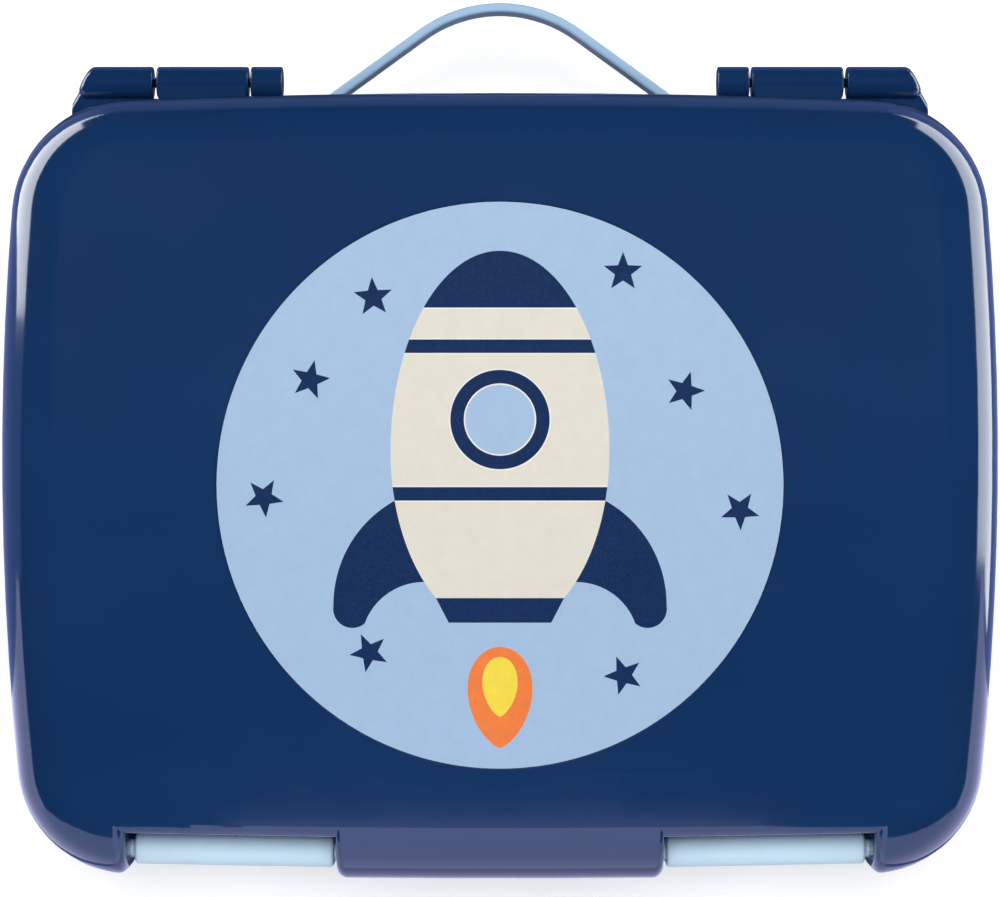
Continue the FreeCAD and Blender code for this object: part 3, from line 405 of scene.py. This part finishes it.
def build_print():
    """The film as one closed mesh: the printed top, cut along every outline, and a bevelled edge."""
    inks = {
        # The rim ring is painted shadow at the film's edge, drawn with the ink shader.
        "print_rim_shadow": ink("print_rim_shadow", RIM_PAINTED_SHADOW, darker(RIM_PAINTED_SHADOW)),
        "print_sky": ink("print_sky", INK_SKY, darker(INK_SKY, 0.97)),
        "print_navy": ink("print_navy", INK_NAVY, darker(INK_NAVY, 0.9), pale=0.07),
        "print_cream": ink("print_cream", INK_CREAM, darker(INK_CREAM, 0.97)),
        "print_white": ink("print_white", INK_WHITE, darker(INK_WHITE, 0.97)),
        "print_orange": ink("print_orange", INK_ORANGE, darker(INK_ORANGE)),
        "print_yellow": ink("print_yellow", INK_YELLOW, darker(INK_YELLOW)),
    }
    slots = {name: index for index, name in enumerate(inks)}
    layers = artwork()
    border = circle((0, 0), FILM_RADIUS - EDGE_BEVEL, RIM_STEPS)
    points, edges = [], []
    for outline in [border] + [shape for shape, _ in layers]:
        first = len(points)
        points.extend(Vector(point) for point in outline)
        count = len(outline)
        edges.extend((first + i, first + (i + 1) % count) for i in range(count))
    spots, _, faces, _, _, _ = delaunay_2d_cdt(points, edges, [], 0, 1e-4)

    mesh = bmesh.new()
    corners = [mesh.verts.new((spot.x * MM, spot.y * MM, FILM_TOP)) for spot in spots]
    for face in faces:
        middle = sum((spots[i] for i in face), Vector((0, 0))) / len(face)
        # Outside every printed shape, the ring at the film's edge takes the painted shadow colour.
        kind = "print_rim_shadow"
        for outline, name in layers:
            if inside(middle, outline):
                kind = name
        mesh.faces.new([corners[i] for i in face]).material_index = slots[kind]
    rim = [edge for edge in mesh.edges if edge.is_boundary]
    for radius, height in ((FILM_RADIUS, FILM_TOP - EDGE_DROP * MM), (FILM_RADIUS, FILM_BOTTOM)):
        made = bmesh.ops.extrude_edge_only(mesh, edges=rim)["geom"]
        for item in made:
            if isinstance(item, bmesh.types.BMVert):
                flat = Vector((item.co.x, item.co.y)).normalized() * radius * MM
                item.co = (flat.x, flat.y, height)
        rim = [item for item in made if isinstance(item, bmesh.types.BMEdge) and item.is_boundary]
    bmesh.ops.contextual_create(mesh, geom=rim)
    bmesh.ops.recalc_face_normals(mesh, faces=mesh.faces)
    data = bpy.data.meshes.new("rocket_print")
    mesh.to_mesh(data)
    mesh.free()
    for material in inks.values():
        data.materials.append(material)
    film = bpy.data.objects.new("rocket_print", data)
    SCENE.collection.objects.link(film)
    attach(film, "lid")
    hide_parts("lid_print")


build_print()


# ---------------------------------------------------------------- floor, light and camera

def build_floor():
    size = 3.0
    data = bpy.data.meshes.new("floor")
    corners = [(-size, -size, 0), (size, -size, 0), (size, size, 0), (-size, size, 0)]
    data.from_pydata(corners, [], [(0, 1, 2, 3)])
    floor = bpy.data.objects.new("floor", data)
    SCENE.collection.objects.link(floor)
    nodes = Nodes("floor_paper")
    tone = nodes.ranged(nodes.noise(6.0, 4.0, 0.5), 0.0, 1.0)
    nodes.finish(nodes.mixed(tone, linear((247, 246, 244)), linear((243, 243, 242))),
                 nodes.ranged(nodes.noise(40.0), 0.8, 0.95), nodes.bump(nodes.noise(900.0), 0.00001),
                 Emission_Color=(1.0, 1.0, 1.0, 1.0), Emission_Strength=0.42)
    data.materials.append(nodes.material)
    floor.visible_glossy = False


def build_world():
    """White to the camera.  To everything else a dark room with a dim blue band below the horizon."""
    world = bpy.data.worlds.new("studio")
    SCENE.world = world
    world.use_nodes = True
    tree = world.node_tree
    tree.nodes.clear()
    output = tree.nodes.new("ShaderNodeOutputWorld")
    seen = tree.nodes.new("ShaderNodeBackground")
    seen.inputs["Color"].default_value = (1, 1, 1, 1)
    lit = tree.nodes.new("ShaderNodeBackground")
    way = tree.nodes.new("ShaderNodeTexCoord")
    parts = tree.nodes.new("ShaderNodeSeparateXYZ")
    tree.links.new(way.outputs["Generated"], parts.inputs[0])
    height = tree.nodes.new("ShaderNodeMapRange")
    height.inputs["From Min"].default_value = -1
    tree.links.new(parts.outputs["Z"], height.inputs["Value"])
    ramp = tree.nodes.new("ShaderNodeValToRGB")
    tree.links.new(height.outputs["Result"], ramp.inputs["Fac"])
    tree.links.new(ramp.outputs["Color"], lit.inputs["Color"])
    stops = ramp.color_ramp.elements
    stops[0].position, stops[0].color = (1 + math.sin(math.radians(-55))) / 2, UNDER_GLOW
    stops[1].position, stops[1].color = (1 + math.sin(math.radians(-4))) / 2, ROOM_DARK
    for degrees in (-35, -12):
        stops.new((1 + math.sin(math.radians(degrees))) / 2).color = HORIZON_GLOW
    path = tree.nodes.new("ShaderNodeLightPath")
    mix = tree.nodes.new("ShaderNodeMixShader")
    tree.links.new(path.outputs["Is Camera Ray"], mix.inputs[0])
    tree.links.new(lit.outputs[0], mix.inputs[1])
    tree.links.new(seen.outputs[0], mix.inputs[2])
    tree.links.new(mix.outputs[0], output.inputs[0])


def lamp(name, centre, facing, size, radiance):
    """A rectangular light that is never seen in reflections."""
    light = bpy.data.lights.new(name, "AREA")
    light.shape = "RECTANGLE"
    light.size, light.size_y = size
    light.energy = radiance * math.pi * size[0] * size[1]
    thing = bpy.data.objects.new(name, light)
    SCENE.collection.objects.link(thing)
    thing.location = centre
    thing.rotation_euler = Vector(facing).to_track_quat("-Z", "Y").to_euler()
    thing.visible_camera = False
    thing.visible_glossy = False


def card(name, corners, radiance, colour):
    """A glowing flat card with the given corners, seen in reflections only."""
    data = bpy.data.meshes.new(name)
    data.from_pydata(corners, [], [tuple(range(len(corners)))])
    sheet = bpy.data.objects.new(name, data)
    SCENE.collection.objects.link(sheet)
    material = bpy.data.materials.new(name)
    material.use_nodes = True
    tree = material.node_tree
    tree.nodes.clear()
    glow = tree.nodes.new("ShaderNodeEmission")
    glow.inputs["Color"].default_value = (*colour, 1)
    glow.inputs["Strength"].default_value = radiance
    output = tree.nodes.new("ShaderNodeOutputMaterial")
    tree.links.new(glow.outputs[0], output.inputs["Surface"])
    data.materials.append(material)
    for flag in ("visible_camera", "visible_diffuse", "visible_transmission", "visible_shadow",
                 "visible_volume_scatter"):
        setattr(sheet, flag, False)


def floor_card(name, x0, x1, y0, y1, radiance, colour):
    """A card that lies on the floor."""
    low = 0.001
    card(name, [(x0, y0, low), (x1, y0, low), (x1, y1, low), (x0, y1, low)], radiance, colour)


def wall_card(name, start, end, tops, radiance, colour):
    """A card that stands on the floor between two points, with its own height at each."""
    card(name, [(*start, 0), (*end, 0), (*end, tops[1]), (*start, tops[0])], radiance, colour)


def build_lights():
    lamp("key", (0, 0.30, 1.15), (0, -0.30, -1.15), (0.9, 0.6), 6.5)
    lamp("front", (0, -0.55, 0.95), (0, 0.55, -0.95), (0.9, 0.4), 2.3)
    white, blue, lavender = (0.90, 0.94, 1.0), (0.33, 0.42, 1.0), (0.64, 0.64, 1.0)
    # The cards lie and stand in a ring round the box.  Distances are from its middle.
    far, rear, front = 0.50, 0.45, -0.30
    beside, white_start, under_edge = 0.12, 0.20, 0.108
    soft_start, middle = -0.05, 0.082
    for side, name in ((-1, "left"), (1, "right")):
        lamp(f"fill_{name}", (side * 0.9, 0, 0.6), (-side * 0.9, 0, -0.6), (0.5, 0.6), 1.6)
        # The white cards reach further to the front on the right than on the left.
        turn, bright = (0.068, 9.5) if side < 0 else (-0.042, 7.5)
        outer = side * far
        floor_card(f"white_floor_{name}", side * white_start, outer, turn, rear, bright, white)
        wall_card(f"white_side_{name}", (outer, turn), (outer, rear), (0.17, 0.17), bright, white)
        wall_card(f"white_end_{name}", (outer, rear), (side * 0.30, rear), (0.17, 0.13), bright, white)
        floor_card(f"blue_floor_{name}", side * beside, side * white_start, soft_start, 0.30, 0.9, blue)
        floor_card(f"blue_far_{name}", side * white_start, outer, soft_start, turn, 0.9, blue)
        wall_card(f"blue_side_{name}", (outer, soft_start), (outer, turn), (0.13, 0.17), 0.9, blue)
        floor_card(f"soft_floor_{name}", side * beside, outer, soft_start, front, 2.2, lavender)
        wall_card(f"soft_side_{name}", (outer, soft_start), (outer, front), (0.07, 0.11), 2.6, lavender)
        wall_card(f"soft_end_{name}", (outer, front), (side * middle, front), (0.11, 0.39), 2.0, lavender)
    floor_card("soft_floor_front", -under_edge, under_edge, -0.09, front, 1.3, lavender)
    # This card leans over the front of the box, so the whole rolled edge there mirrors it.
    lean_y, lean_z = -0.108, 0.36
    card("front_card", [(-middle, front, 0), (middle, front, 0), (middle, lean_y, lean_z),
                        (-middle, lean_y, lean_z)], 2.5, lavender)


def build_camera():
    data = bpy.data.cameras.new("camera")
    data.lens = CAMERA_FOCAL
    data.sensor_width = 36.0
    data.clip_start, data.clip_end = 0.05, 20.0
    camera = bpy.data.objects.new("camera", data)
    SCENE.collection.objects.link(camera)
    camera.location = (*CAMERA_PLACE, CAMERA_HEIGHT)
    SCENE.camera = camera


build_floor()
build_world()
build_lights()
build_camera()
SCENE.view_settings.view_transform = "Standard"
